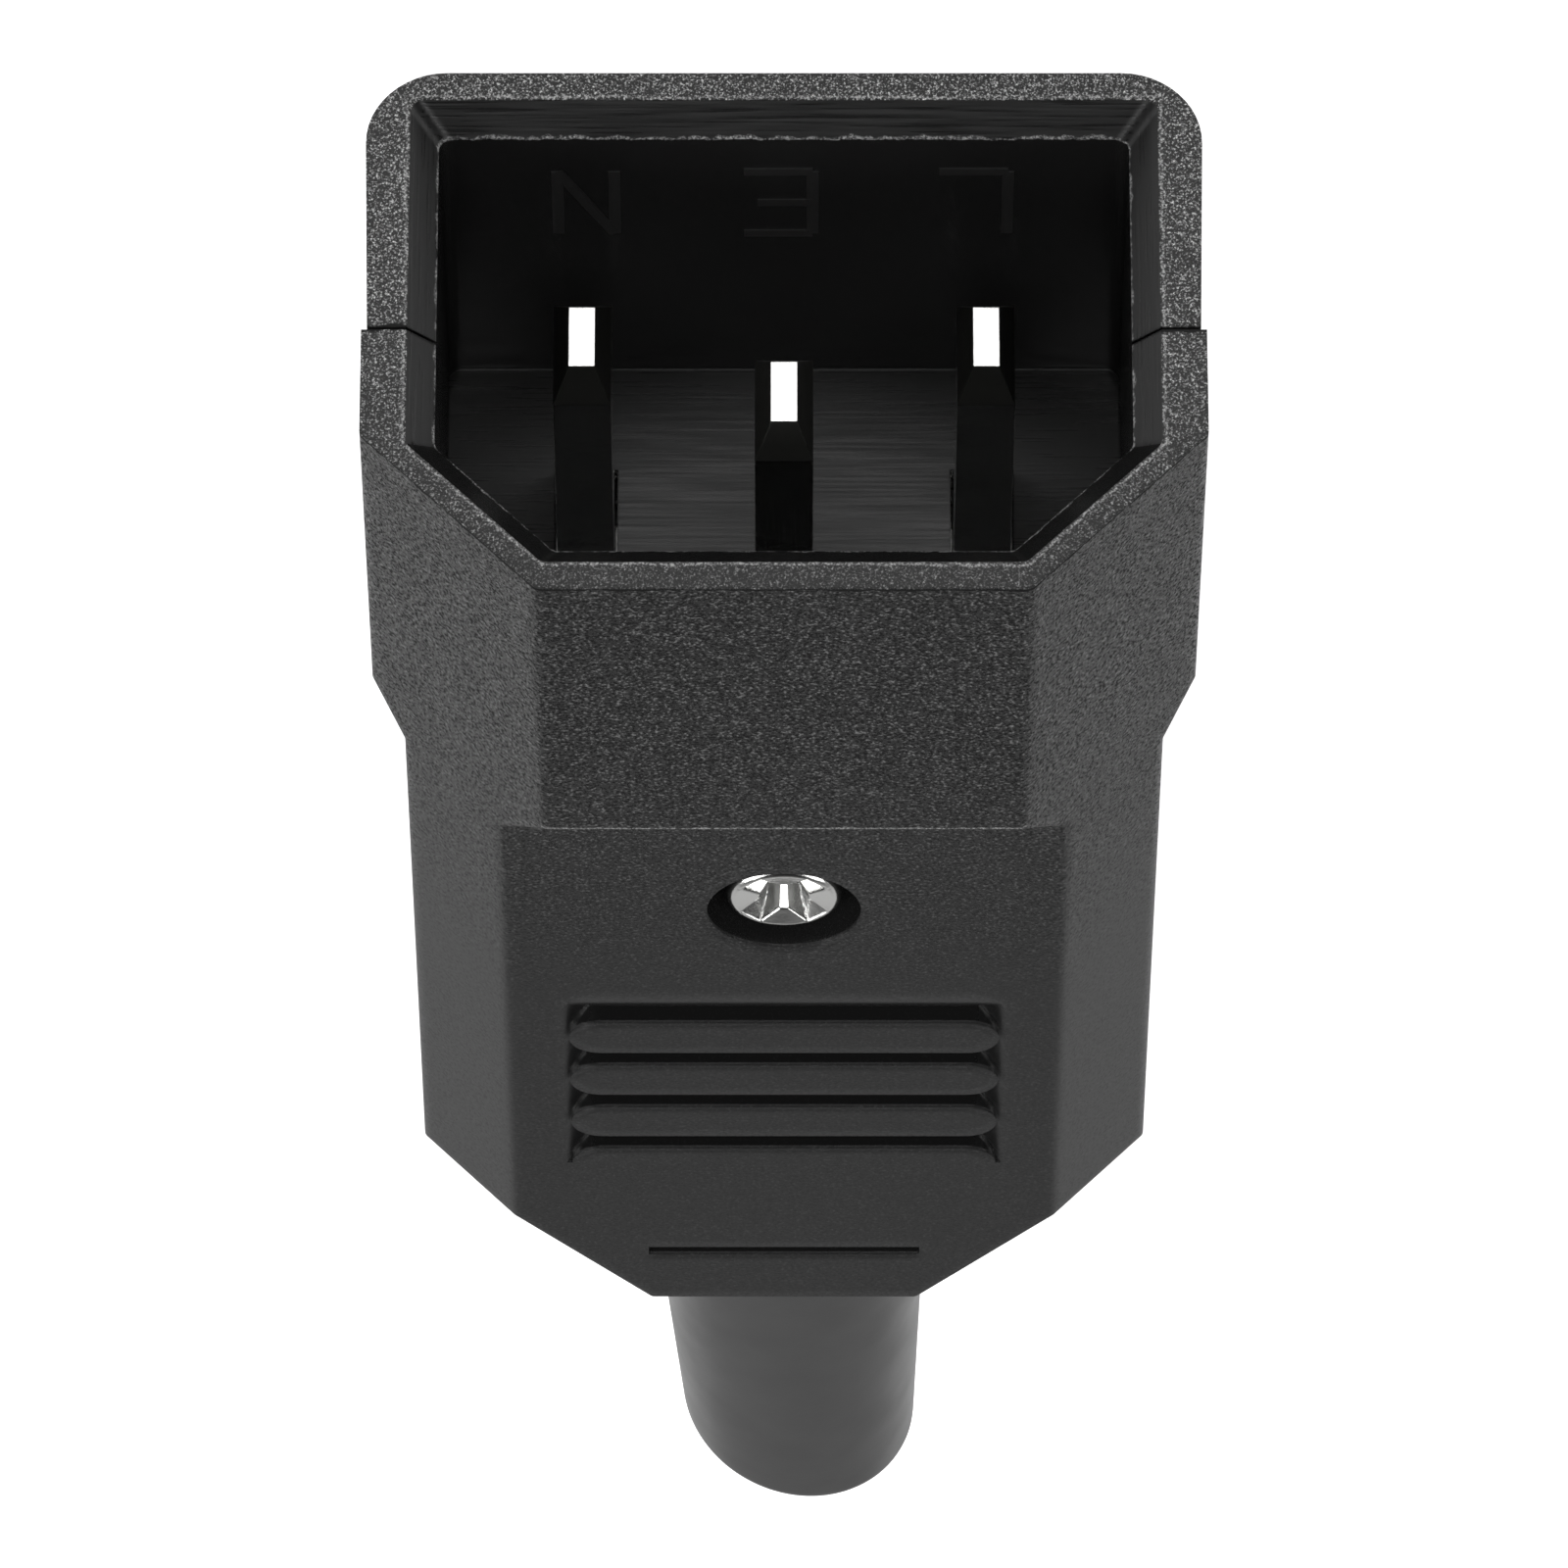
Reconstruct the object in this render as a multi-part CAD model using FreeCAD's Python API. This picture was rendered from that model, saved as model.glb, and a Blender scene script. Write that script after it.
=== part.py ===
import FreeCAD, Part
import math
import os

# Rewirable in-line C14 plug: two screwed half shells, three flat pins, cord clamp and rubber cord boot.
# It lies on its back. X is its width, Y runs from the mouth's rim towards the cord boot, Z points from
# the plain back to the grip panel. While it is built the rim plane is at Y = 0. Sizes are in mm.

V = FreeCAD.Vector
X_AXIS, Y_AXIS, Z_AXIS = V(1, 0, 0), V(0, 1, 0), V(0, 0, 1)

# Mouth, the shroud around the pins
mouth_half_width = 14.5
mouth_depth = 20.6
mouth_chamfer = 6.1
mouth_length = 16.9
back_corner_r = 2.8
chamfer_edge_r = 0.5
rear_toe_in = 0.2

# Socket space inside the mouth
socket_half_width = 11.95
socket_wall = 2.05
socket_flat_half = 7.85
socket_length = 16.6
socket_corner_r = 0.5
lead_in = 1.0

# Body behind the shoulder, and its tapered tail
body_side_inset = 1.1
body_inset = 1.55
shoulder_length = 2.5
body_end = 49.6
tail_half_width = 8.45
tail_end = 56.2
panel_edge_r = 0.3
wall = 2.0
parting_gap = 0.1

# Wiring chamber
partition_thickness = 2.4
chamber_end = 48.0
barrier_x = 4.9
barrier_thickness = 1.0
barrier_length = 12.0

# Cover screw and its posts
screw_place = 25.75
screw_hole_r = 2.75
screw_sunk = 0.37
screw_head_r = 1.95
screw_head_height = 1.75
screw_edge_height = 1.55
screw_crown_r = 1.65
recess_turn_deg = 45.0
recess_depth = 1.2
recess_reach = 1.6
recess_width = 1.0
recess_floor_reach = 0.6
recess_floor_width = 0.45
screw_shank_r = 1.45
screw_end_gap = 0.4
shank_clearance = 0.15
thread_gap = 0.05
front_post_r = 3.2
rear_post_r = 4.6
pilot_floor = 1.0

# Grip: bars standing in a recess of the panel, and the line below them
grip_half_length = 8.0
grip_side_run = 1.0
grip_corner_r = 1.3
grip_start = 32.1
grip_depth = 0.95
grip_lead_r = 3.2
grip_lead_first_deg = 10.0
bar_count = 4
bar_first = 35.45
bar_pitch = 3.27
bar_width = 2.3
bar_end_gap = 0.2
line_place = 52.4
line_half_length = 5.05
line_width = 0.6
line_depth = 0.4

# Pins
pin_thickness = 2.0
pin_height = 4.0
pole_spacing = 14.0
tip_side_bevel = 0.55
tip_end_bevel = 0.82
tip_length = 1.3
pole_tip_depth = 3.9
earth_tip_depth = 0.87
slot_clearance = 0.1

# Terminals on the pins' inner ends
blade_root = 1.0
block_length = 8.0
block_side_gap = 0.15
block_top_drop = 0.3
block_stop_gap = 0.1
stop_rib_thickness = 1.2
stop_rib_height = 1.3
earth_strap_width = 3.0
earth_strap_height = 2.0
ring_clearance = 0.2
ring_wall = 1.6
earth_block_place = 31.0
earth_block_width = 6.0
earth_block_length = 7.0
pedestal_height = 3.4
wire_hole_r = 1.4
wire_stop = 2.0
wire_hole_rise = 2.8
terminal_shank_r = 1.5
terminal_head_r = 2.3
terminal_head_height = 1.6
driver_slot = 0.8

# Cord clamp
clamp_place = 42.5
clamp_roof_gap = 0.8
clamp_side_gap = 0.4
clamp_post_r = 2.6
clamp_bar_end = 3.2
clamp_bar_width = 5.6
clamp_bar_height = 2.4
clamp_bar_corner_r = 1.4
clamp_ridge_length = 7.0
clamp_ridge_drop = 0.7
clamp_head_r = 2.5
clamp_head_height = 1.4
cord_r = 3.5
cradle_half_width = 4.6
cradle_length = 4.6
cradle_height = 4.6

# Cord boot
boot_bore_r = 3.5
collar_r = 6.3
collar_place = 51.0
collar_thickness = 2.4
neck_r = 5.2
boot_clearance = 0.1
cord_passage_r = 4.2
boot_root_r = 5.6
boot_tip_r = 4.5
boot_end = 82.6
boot_lean_deg = 1.3
boot_cut_deg = 14.0
boot_end_chamfer = 0.6

# Places that follow from the sizes above
parting = mouth_depth / 2
axis_z = parting
rear_top = parting - parting_gap / 2
front_bottom = parting + parting_gap / 2
body_half_width = mouth_half_width - body_side_inset
body_start = mouth_length + shoulder_length
partition_end = socket_length + partition_thickness
diagonal = mouth_half_width - mouth_chamfer + mouth_depth


def outline_sizes(side, top, bottom, slope):
    """Four sizes of a section: half width, top, bottom, and x + z on its 45 degree chamfers."""
    return {"side": side, "top": top, "bottom": bottom, "slope": slope}


def inset(sizes, distance):
    """The same section with every wall moved inwards by a distance."""
    return outline_sizes(sizes["side"] - distance, sizes["top"] - distance,
                         sizes["bottom"] + distance, sizes["slope"] - distance * math.sqrt(2))


MOUTH = outline_sizes(mouth_half_width, mouth_depth, 0.0, diagonal)
BODY = outline_sizes(body_half_width, mouth_depth - body_inset, body_inset, diagonal)
TAIL = outline_sizes(tail_half_width, BODY["top"], BODY["bottom"],
                     diagonal - (body_half_width - tail_half_width))
SOCKET = outline_sizes(socket_half_width, mouth_depth - socket_wall, socket_wall,
                       socket_flat_half + mouth_depth - socket_wall)
CHAMBER = inset(BODY, wall)
clamp_bar_top = CHAMBER["top"] - clamp_roof_gap - clamp_head_height
clamp_bar_bottom = clamp_bar_top - clamp_bar_height
clamp_x = CHAMBER["slope"] - clamp_bar_top - clamp_head_height - clamp_head_r - clamp_side_gap
pilot_bottom = CHAMBER["bottom"] + pilot_floor


def wire_at(y, corners):
    """Closed wire in the plane Y = y from (x, z, radius) corners, each rounded by its radius."""
    points = [V(x, y, z) for x, z, radius in corners]
    ends = []
    edges = []
    for i, (x, z, radius) in enumerate(corners):
        here, before, after = points[i], points[i - 1], points[(i + 1) % len(points)]
        to_before = (before - here).normalize()
        to_after = (after - here).normalize()
        half_angle = to_before.getAngle(to_after) / 2
        reach = radius / math.tan(half_angle)
        centre_way = (to_before + to_after).normalize()
        middle = here + centre_way * (radius / math.sin(half_angle) - radius)
        ends.append((here + to_before * reach, middle, here + to_after * reach))
    for i, (start, middle, end) in enumerate(ends):
        if corners[i][2] > 0:
            edges.append(Part.Arc(start, middle, end).toShape())
        following = ends[(i + 1) % len(ends)][0]
        edges.append(Part.LineSegment(end, following).toShape())
    return Part.Wire(edges)


def front_half(y, sizes, flat_edge_r):
    """Section of the cover half: side, chamfer and flat, from the parting plane up."""
    side, top, slope = sizes["side"], sizes["top"], sizes["slope"]
    right = [(side, front_bottom, 0), (side, slope - side, panel_edge_r), (slope - top, top, flat_edge_r)]
    left = [(-x, z, radius) for x, z, radius in reversed(right)]
    return wire_at(y, right + left)


def rear_half(y, sizes, toe_in):
    """Section of the base half: sides that lean in to the parting plane, and rounded back corners."""
    side, bottom = sizes["side"], sizes["bottom"]
    corners = [(-side + toe_in, rear_top, 0), (-side, bottom, back_corner_r),
               (side, bottom, back_corner_r), (side - toe_in, rear_top, 0)]
    return wire_at(y, corners)


def whole_outline(y, sizes, corner_r):
    """Section across both halves: chamfered at the top, with one corner radius all round."""
    side, top, bottom, slope = sizes["side"], sizes["top"], sizes["bottom"], sizes["slope"]
    corners = [(-side, bottom), (side, bottom), (side, slope - side),
               (slope - top, top), (top - slope, top), (-side, slope - side)]
    return wire_at(y, [(x, z, corner_r) for x, z in corners])


def loft(wires):
    return Part.makeLoft(wires, True, True)


def prism(wire, length):
    return Part.Face(wire).extrude(V(0, length, 0))


def block(x0, x1, y0, y1, z0, z1):
    return Part.makeBox(x1 - x0, y1 - y0, z1 - z0, V(x0, y0, z0))


def post(x, y, z0, z1, radius):
    return Part.makeCylinder(radius, z1 - z0, V(x, y, z0), Z_AXIS)


def along_y(x, z, y0, y1, radius):
    return Part.makeCylinder(radius, y1 - y0, V(x, y0, z), Y_AXIS)


def inside_space():
    """Everything hollow in the closed plug: socket with its lead-in, wiring chamber and boot seat."""
    lead = loft([whole_outline(0, inset(SOCKET, -lead_in), socket_corner_r),
                 whole_outline(lead_in, SOCKET, socket_corner_r)])
    socket = prism(whole_outline(0, SOCKET, socket_corner_r), socket_length)
    chamber = prism(whole_outline(partition_end, CHAMBER, socket_corner_r), chamber_end - partition_end)
    passage = along_y(0, axis_z, chamber_end, collar_place, cord_passage_r)
    collar_seat = along_y(0, axis_z, collar_place, collar_place + collar_thickness + boot_clearance,
                          collar_r + boot_clearance)
    exit_hole = along_y(0, axis_z, collar_place, tail_end, neck_r + boot_clearance)
    return lead.fuse([socket, chamber, passage, collar_seat, exit_hole])


def pin_slot(x, z0, z1):
    half = pin_thickness / 2 + slot_clearance
    return block(x - half, x + half, socket_length, partition_end, z0, z1)


def grip_bar(y, low, high):
    """Bar across the panel, round at both ends."""
    r = bar_width / 2
    half = grip_half_length - bar_end_gap - r
    near_left, near_right = V(-half, y - r, low), V(half, y - r, low)
    far_left, far_right = V(-half, y + r, low), V(half, y + r, low)
    plan = Part.Wire([Part.LineSegment(near_left, near_right).toShape(),
                      Part.Arc(near_right, V(half + r, y, low), far_right).toShape(),
                      Part.LineSegment(far_right, far_left).toShape(),
                      Part.Arc(far_left, V(-half - r, y, low), near_left).toShape()])
    return Part.Face(plan).extrude(V(0, 0, high - low))


def lead_scoop(top, end):
    """Space over the panel and over the arc by which it rolls down to the first bar."""
    def rolled(angle):
        return V(-grip_half_length, grip_start + grip_lead_r * math.sin(angle),
                 top - grip_lead_r * (1 - math.cos(angle)))

    first = math.radians(grip_lead_first_deg)
    last = math.acos(1 - grip_depth / grip_lead_r)
    floor, high = top - grip_depth, top + grip_depth
    corners = [rolled(last), V(-grip_half_length, end, floor), V(-grip_half_length, end, high),
               V(-grip_half_length, grip_start, high), V(-grip_half_length, grip_start, top), rolled(first)]
    edges = [Part.LineSegment(p, q).toShape() for p, q in zip(corners, corners[1:])]
    edges.append(Part.Arc(rolled(first), rolled((first + last) / 2), rolled(last)).toShape())
    return Part.Face(Part.Wire(edges)).extrude(V(2 * grip_half_length, 0, 0))


def recess_plan(end, low, high):
    """Space over the recess, its two corners towards the mouth rounded."""
    x, r = grip_half_length, grip_corner_r
    bulge = r * (1 - math.sqrt(0.5))
    outer_left, inner_left = V(-x, grip_start + r, low), V(r - x, grip_start, low)
    inner_right, outer_right = V(x - r, grip_start, low), V(x, grip_start + r, low)
    sides = [Part.Arc(outer_left, V(bulge - x, grip_start + bulge, low), inner_left).toShape(),
             Part.LineSegment(inner_left, inner_right).toShape(),
             Part.Arc(inner_right, V(x - bulge, grip_start + bulge, low), outer_right).toShape()]
    corners = [outer_right, V(x, end, low), V(-x, end, low), outer_left]
    sides += [Part.LineSegment(p, q).toShape() for p, q in zip(corners, corners[1:])]
    return Part.Face(Part.Wire(sides)).extrude(V(0, 0, high - low))


def grip_recess():
    """Space round the bars: it slopes in at the sides and runs out at half of the last bar's width."""
    top = BODY["top"]
    floor, high = top - grip_depth, top + grip_depth
    foot = grip_half_length - grip_side_run
    end = bar_first + (bar_count - 1) * bar_pitch
    section = [V(x, grip_start, z) for x, z in ((-grip_half_length, high), (grip_half_length, high),
                                                (grip_half_length, top), (foot, floor),
                                                (-foot, floor), (-grip_half_length, top))]
    recess = prism(Part.makePolygon(section + section[:1]), end - grip_start)
    recess = recess.common(recess_plan(end, floor - grip_depth, high + grip_depth))
    recess = recess.common(lead_scoop(top, end))
    return recess.cut([grip_bar(bar_first + i * bar_pitch, floor - grip_depth, high + grip_depth)
                       for i in range(bar_count)])


def front_shell():
    """Cover half: chamfered outside, screw post, earth slot, grip recess and moulded line."""
    top = BODY["top"]
    mouth = front_half(mouth_length, MOUTH, chamfer_edge_r)
    body = front_half(body_start, BODY, panel_edge_r)
    outside = prism(mouth, -mouth_length).fuse([
        loft([mouth, body]), prism(body, body_end - body_start),
        loft([front_half(body_end, BODY, panel_edge_r), front_half(tail_end, TAIL, panel_edge_r)])])
    shell = outside.removeSplitter().cut(inside_space())
    shell = shell.fuse(post(0, screw_place, front_bottom, top - wall / 2, front_post_r))
    seat = top - screw_sunk - screw_head_height
    shell = shell.cut([post(0, screw_place, seat, top, screw_hole_r),
                       post(0, screw_place, front_bottom, seat, screw_shank_r + shank_clearance),
                       pin_slot(0, front_bottom, parting + pin_height + slot_clearance),
                       block(-line_half_length, line_half_length, line_place - line_width / 2,
                             line_place + line_width / 2, top - line_depth, top), grip_recess()])
    return shell.removeSplitter()


def rear_shell():
    """Base half: rounded back, pole slots, barriers, screw post, terminal seats and clamp posts."""
    floor = CHAMBER["bottom"]
    inner = CHAMBER["side"]
    mouth = rear_half(mouth_length, MOUTH, rear_toe_in)
    body = rear_half(body_start, BODY, 0)
    outside = prism(mouth, -mouth_length).fuse([
        loft([mouth, body]), prism(body, body_end - body_start),
        loft([rear_half(body_end, BODY, 0), rear_half(tail_end, TAIL, 0)])])
    shell = outside.removeSplitter().cut(inside_space())
    inlay = wall / 2
    rib_start = partition_end + block_length + block_stop_gap
    fittings = [post(0, screw_place, floor - inlay, rear_top, rear_post_r),
                block(-earth_block_width / 2, earth_block_width / 2, earth_block_place,
                      earth_block_place + earth_block_length, floor - inlay, floor + pedestal_height)]
    for side in (-1, 1):
        near, far = sorted((side * (barrier_x - barrier_thickness / 2),
                            side * (barrier_x + barrier_thickness / 2)))
        fittings.append(block(near, far, partition_end, partition_end + barrier_length,
                              floor - inlay, parting - block_top_drop - slot_clearance))
        near, far = sorted((side * barrier_x, side * (inner + inlay)))
        fittings.append(block(near, far, rib_start, rib_start + stop_rib_thickness,
                              floor - inlay, floor + stop_rib_height))
        fittings.append(post(side * clamp_x, clamp_place, floor - inlay, clamp_bar_bottom, clamp_post_r))
    cradle = block(-cradle_half_width, cradle_half_width, clamp_place - cradle_length / 2,
                   clamp_place + cradle_length / 2, floor - inlay, floor + cradle_height)
    fittings.append(cradle.cut(along_y(0, axis_z, 0, tail_end, cord_r)))
    shell = shell.fuse(fittings)
    pilot_r = screw_shank_r + thread_gap
    cuts = [post(0, screw_place, pilot_bottom, rear_top, pilot_r)]
    for side in (-1, 1):
        cuts.append(post(side * clamp_x, clamp_place, pilot_bottom, clamp_bar_bottom, pilot_r))
        cuts.append(pin_slot(side * pole_spacing / 2, parting - pin_height - slot_clearance, rear_top))
    return shell.cut(cuts).removeSplitter()


def blade(x, tip, end, z0):
    """Flat pin with its end bevelled on all four sides, standing on z0."""
    half = pin_thickness / 2
    z1 = z0 + pin_height
    full = [(x - half, z0, 0), (x + half, z0, 0), (x + half, z1, 0), (x - half, z1, 0)]
    small_half = half - tip_side_bevel
    small = [(x - small_half, z0 + tip_end_bevel, 0), (x + small_half, z0 + tip_end_bevel, 0),
             (x + small_half, z1 - tip_end_bevel, 0), (x - small_half, z1 - tip_end_bevel, 0)]
    return loft([wire_at(tip, small), wire_at(tip + tip_length, full), wire_at(end, full)])


def terminal(x, width, y, length, z0, z1):
    """Terminal block with a blind wire hole from the back and a screw hole down to it."""
    wire_z = z0 + wire_hole_rise
    body = block(x - width / 2, x + width / 2, y, y + length, z0, z1)
    return body.cut([along_y(x, wire_z, y + wire_stop, y + length, wire_hole_r),
                     post(x, y + length / 2, wire_z, z1, terminal_shank_r + thread_gap)])


pole_block_inner = barrier_x + barrier_thickness / 2 + block_side_gap
pole_block_outer = CHAMBER["side"] - socket_corner_r - block_side_gap
POLE_BLOCK_X = (pole_block_inner + pole_block_outer) / 2
POLE_BLOCK = (CHAMBER["bottom"], parting - block_top_drop)
EARTH_BLOCK = (CHAMBER["bottom"] + pedestal_height, parting + pin_height)


def pole_pin(side):
    """Live or neutral: a blade under the parting plane with its block against the partition."""
    pin = blade(side * pole_spacing / 2, pole_tip_depth, partition_end + blade_root, parting - pin_height)
    z0, z1 = POLE_BLOCK
    body = terminal(side * POLE_BLOCK_X, pole_block_outer - pole_block_inner, partition_end,
                    block_length, z0, z1)
    return pin.fuse(body).removeSplitter()


def earth_pin():
    """Earth: a blade above the parting plane, a strap with a ring round the screw post, and its block."""
    pin = blade(0, earth_tip_depth, partition_end + blade_root, parting)
    strap_top = parting + earth_strap_height
    strap = block(-earth_strap_width / 2, earth_strap_width / 2, partition_end,
                  earth_block_place + blade_root, parting, strap_top)
    ring_r = front_post_r + ring_clearance
    ring = post(0, screw_place, parting, strap_top, ring_r + ring_wall)
    hole = post(0, screw_place, parting, parting + pin_height, ring_r)
    z0, z1 = EARTH_BLOCK
    body = terminal(0, earth_block_width, earth_block_place, earth_block_length, z0, z1)
    return pin.fuse([strap, ring]).cut(hole).fuse(body).removeSplitter()


def turned(profile, start):
    """Solid of revolution about the vertical line through start, from (radius, height) points."""
    points = [start + V(radius, 0, height) for radius, height in profile]
    face = Part.Face(Part.makePolygon(points + points[:1]))
    return face.revolve(start, Z_AXIS, 360)


def cross_recess(top):
    """Two crossed wedges that narrow downwards, the recess for a cross-head driver."""
    wedges = []
    for turn in (recess_turn_deg, recess_turn_deg + 90):
        sections = []
        for z, reach, width in ((top, recess_reach, recess_width),
                                (top - recess_depth, recess_floor_reach, recess_floor_width)):
            half = width / 2
            points = [V(-reach, -half, z), V(reach, -half, z), V(reach, half, z), V(-reach, half, z)]
            sections.append(Part.makePolygon(points + points[:1]))
        wedge = loft(sections)
        wedge.rotate(V(0, 0, 0), Z_AXIS, turn)
        wedge.translate(V(0, screw_place, 0))
        wedges.append(wedge)
    return wedges[0].fuse(wedges[1])


def cover_screw():
    """Pan-head screw on its seat in the panel's hole, with a cross recess."""
    seat = BODY["top"] - screw_sunk - screw_head_height
    end = pilot_bottom + screw_end_gap - seat
    profile = [(0, end), (screw_shank_r, end), (screw_shank_r, 0), (screw_head_r, 0),
               (screw_head_r, screw_edge_height), (screw_crown_r, screw_head_height),
               (0, screw_head_height)]
    return turned(profile, V(0, screw_place, seat)).cut(cross_recess(seat + screw_head_height))


def slotted_screw(x, y, seat, end, head_r, head_height, shank_r):
    """Cheese-head screw with a driver slot, its head on the seat and its shank down to the end."""
    head = post(x, y, seat, seat + head_height, head_r)
    shank = post(x, y, end, seat, shank_r)
    slot = block(x - head_r, x + head_r, y - driver_slot / 2, y + driver_slot / 2,
                 seat + head_height / 2, seat + head_height)
    return head.fuse(shank).cut(slot)


def clamp_screws():
    return Part.makeCompound([slotted_screw(side * clamp_x, clamp_place, clamp_bar_top,
                                            pilot_bottom + screw_end_gap, clamp_head_r,
                                            clamp_head_height, screw_shank_r) for side in (-1, 1)])


def terminal_screws():
    """One screw per pin, ending at the top of its wire hole."""
    pole_y = partition_end + block_length / 2
    earth_y = earth_block_place + earth_block_length / 2
    places = [(-POLE_BLOCK_X, pole_y, POLE_BLOCK), (POLE_BLOCK_X, pole_y, POLE_BLOCK),
              (0, earth_y, EARTH_BLOCK)]
    return Part.makeCompound([slotted_screw(x, y, z1, z0 + wire_hole_rise + wire_hole_r, terminal_head_r,
                                            terminal_head_height, terminal_shank_r)
                              for x, y, (z0, z1) in places])


def clamp_bar():
    """Bar across the clamp posts, with a ridge that presses on the cord."""
    half = clamp_x + clamp_bar_end
    y0, y1 = clamp_place - clamp_bar_width / 2, clamp_place + clamp_bar_width / 2
    bar = block(-half, half, y0, y1, clamp_bar_bottom, clamp_bar_top)
    uprights = [e for e in bar.Edges if abs(e.tangentAt(e.FirstParameter).z) > 0.9]
    bar = bar.makeFillet(clamp_bar_corner_r, uprights)
    ridge = block(-clamp_ridge_length / 2, clamp_ridge_length / 2, y0, y1,
                  clamp_bar_bottom - clamp_ridge_drop, clamp_bar_bottom)
    holes = [post(side * clamp_x, clamp_place, clamp_bar_bottom, clamp_bar_top,
                  screw_shank_r + shank_clearance) for side in (-1, 1)]
    return bar.fuse(ridge).cut(holes).removeSplitter()


def cord_boot():
    """Rubber sleeve: a collar held in the shells, a neck through the tail, and a leaning tapered tube."""
    exit_y = tail_end + boot_clearance + boot_root_r * math.tan(math.radians(boot_lean_deg))
    held = along_y(0, axis_z, collar_place, collar_place + collar_thickness, collar_r)
    neck = along_y(0, axis_z, collar_place, exit_y + boot_bore_r, neck_r)
    spare = boot_root_r
    slope = (boot_root_r - boot_tip_r) / (boot_end - exit_y)
    tube = Part.makeCone(boot_root_r, boot_tip_r - slope * spare, boot_end + spare - exit_y,
                         V(0, exit_y, axis_z), Y_AXIS)
    bore = along_y(0, axis_z, collar_place - spare, boot_end + 2 * spare, boot_bore_r)
    knife = Part.makeBox(8 * spare, 4 * spare, 8 * spare, V(-4 * spare, boot_end, axis_z - 4 * spare))
    knife.rotate(V(0, boot_end, axis_z), Z_AXIS, -boot_cut_deg)
    tube = tube.cut(knife)
    rim = [e for e in tube.Edges if e.BoundBox.YMax > boot_end]
    tube = tube.makeChamfer(boot_end_chamfer, rim)
    pivot = V(0, exit_y, axis_z)
    for piece in (tube, bore):
        piece.rotate(pivot, Z_AXIS, boot_lean_deg)
    return held.fuse([neck, tube]).cut(bore).removeSplitter()


NODES = {
    "front_shell": front_shell(),
    "rear_shell": rear_shell(),
    "cover_screw": cover_screw(),
    "live_pin": pole_pin(-1),
    "neutral_pin": pole_pin(1),
    "earth_pin": earth_pin(),
    "terminal_screws": terminal_screws(),
    "clamp_bar": clamp_bar(),
    "clamp_screws": clamp_screws(),
    "cord_boot": cord_boot(),
}

# Half way along the plug becomes Y = 0
box = Part.makeCompound(list(NODES.values())).optimalBoundingBox()
os.makedirs("parts", exist_ok=True)
for name, shape in NODES.items():
    shape.translate(V(0, -box.Center.y, 0))
    shape.exportStep("parts/" + name + ".step")
    print(name, len(shape.Solids), shape.isValid(), round(shape.Volume, 1), shape.optimalBoundingBox())
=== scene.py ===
import math
import bpy
import numpy as np
from mathutils import Matrix, Vector


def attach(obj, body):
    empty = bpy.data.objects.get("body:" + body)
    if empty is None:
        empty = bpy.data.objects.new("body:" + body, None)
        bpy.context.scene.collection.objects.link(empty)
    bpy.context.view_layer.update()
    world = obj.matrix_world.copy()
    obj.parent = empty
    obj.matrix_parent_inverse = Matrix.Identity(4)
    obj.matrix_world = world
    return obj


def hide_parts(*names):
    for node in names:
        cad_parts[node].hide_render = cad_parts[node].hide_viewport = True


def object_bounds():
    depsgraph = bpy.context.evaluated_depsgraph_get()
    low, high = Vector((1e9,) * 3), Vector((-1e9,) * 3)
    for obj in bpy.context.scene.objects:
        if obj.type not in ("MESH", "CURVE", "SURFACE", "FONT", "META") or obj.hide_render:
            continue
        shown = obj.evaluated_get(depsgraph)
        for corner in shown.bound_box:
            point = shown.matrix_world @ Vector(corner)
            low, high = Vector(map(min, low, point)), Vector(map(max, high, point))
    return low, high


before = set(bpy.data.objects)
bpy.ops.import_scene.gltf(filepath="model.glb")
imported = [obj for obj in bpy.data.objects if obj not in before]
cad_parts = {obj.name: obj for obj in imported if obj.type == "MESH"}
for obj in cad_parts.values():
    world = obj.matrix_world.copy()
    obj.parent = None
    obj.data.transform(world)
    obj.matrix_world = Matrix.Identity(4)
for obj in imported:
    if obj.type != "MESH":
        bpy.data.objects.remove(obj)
cad_low, cad_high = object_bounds()

# Base half of the housing: black glass-filled nylon, injection moulded in a spark-eroded tool, which gives
# the outside a fine satin grain. The pins lie in its slots, and the cover half closes it on the mid plane.
# Inside the mouth the tool was milled and polished, which leaves streaks and a ragged edge on the lead-in.
MM = 0.001
rim_y = cad_low[1]
top_z = cad_high[2]
PARTING_Z = 10.3 * MM
PANEL_Z = 19.05 * MM
RIM_FACE = 0.03 * MM
TOP_FACE = 0.1 * MM
RIM_EDGE_R = (0.08 * MM, 0.22 * MM)
RIM_EDGE_END = (0.5 * MM, 2.0 * MM)
OUTER_EDGE_R = 0.7 * MM
POLISHED_EDGE_R = 0.12 * MM
MOUTH_HALF_WIDTH = 12.95 * MM
MOUTH_LOW_Z = 1.05 * MM
MOUTH_HIGH_Z = 19.55 * MM
MOUTH_CORNER = 27.81 * MM
MOUTH_SLACK = 0.02 * MM
LEAD_IN_DEPTH = 1.0 * MM
LEAD_IN_FOOT = 1.01 * MM
PARTITION_FRONT = 16.0 * MM
PARTITION_BACK = 17.2 * MM
PARTITION_HALF_WIDTH = 11.95 * MM
PARTITION_BOW = -0.23
PARTITION_LIGHT_Z = (4.0 * MM, 9.0 * MM)
GLINT_FADE_Z = 9.0 * MM
PALE_LINE_WIDTH = (0.02 * MM, 0.08 * MM)
RIM_PALE_LINE = 0.08 * MM
RIM_STRAYS = 0.06 * MM
FOOT_STRAYS = 0.07 * MM
BLOCK_STRAYS = 0.04 * MM
SEAM_WIDTH = (0.08 * MM, 0.16 * MM)
SEAM_STRAYS = 0.1 * MM
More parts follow.
